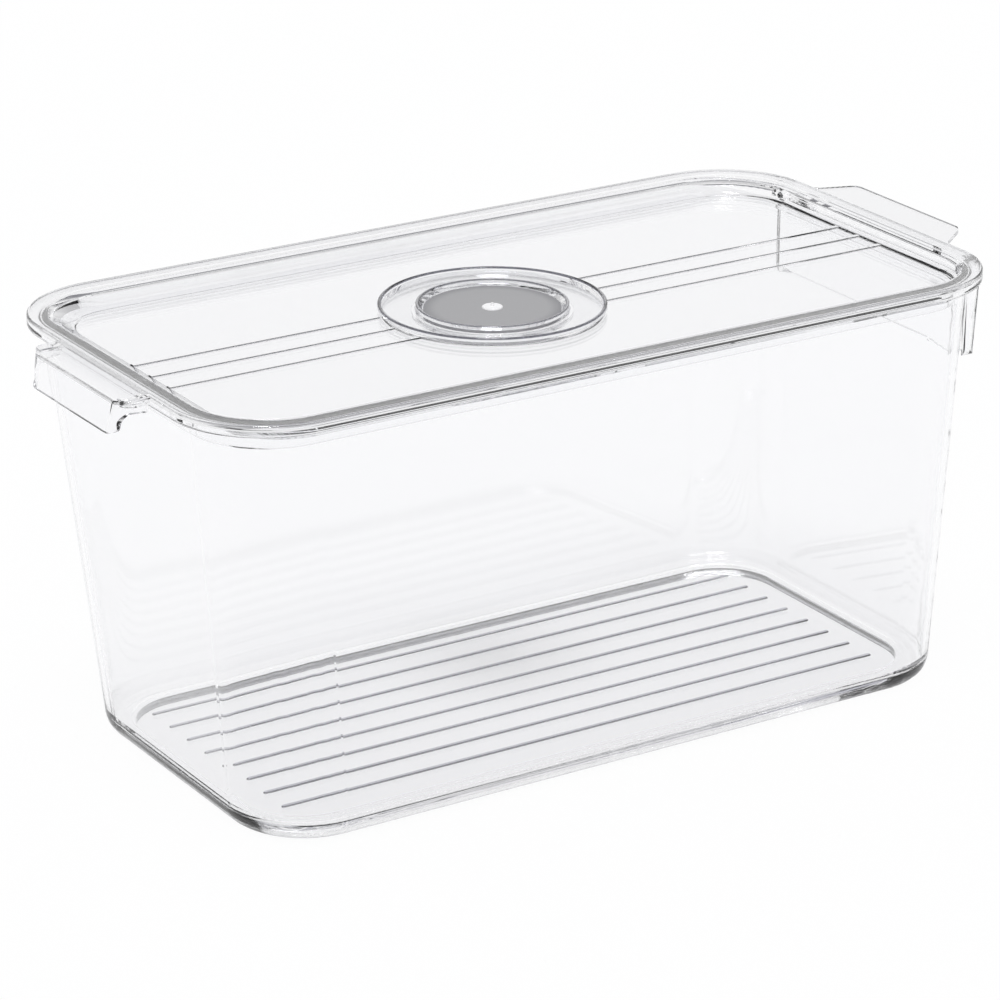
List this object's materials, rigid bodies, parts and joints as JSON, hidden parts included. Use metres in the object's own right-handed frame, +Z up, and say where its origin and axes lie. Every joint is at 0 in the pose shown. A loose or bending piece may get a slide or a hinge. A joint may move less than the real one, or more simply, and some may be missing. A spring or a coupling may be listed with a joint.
{
  "type": "lidded storage bin with a vented lid",
  "caption": "Clear oblong food storage bin with a lift-off stacking lid, a turning air vent with a grey pad, and a pull grip under the rim at one end.",
  "frame": {"origin": "on the table under the middle of the part's overall outline, which is also the middle of the lid", "axes": "+X along the bin to the end with the pull grip, +Y across it, +Z up"},
  "size_m": [0.3436, 0.1672, 0.1565],
  "materials": {
    "clear_plastic": "clear, glossy moulded plastic",
    "grey_pad": "plain, matt and slightly soft",
    "white_pin": "opaque white, satin"
  },
  "bodies": {
    "bin": {"bin_body": "clear_plastic"},
    "lid": {"lid": "clear_plastic", "vent_plate": "clear_plastic"},
    "dial": {"vent_dial": "clear_plastic", "vent_pad": "grey_pad", "pivot_pin": "white_pin"}
  },
  "joints": [
    {"name": "lid_lift", "type": "slide", "parent": "bin", "child": "lid", "axis": [0, 0, 1], "range_m": [0, 0.16]},
    {"name": "dial_turn", "type": "hinge", "parent": "lid", "child": "dial", "pos_m": [-0.0081, 0, 0.149], "axis": [0, 0, 1], "range_deg": [0, 30]}
  ]
}
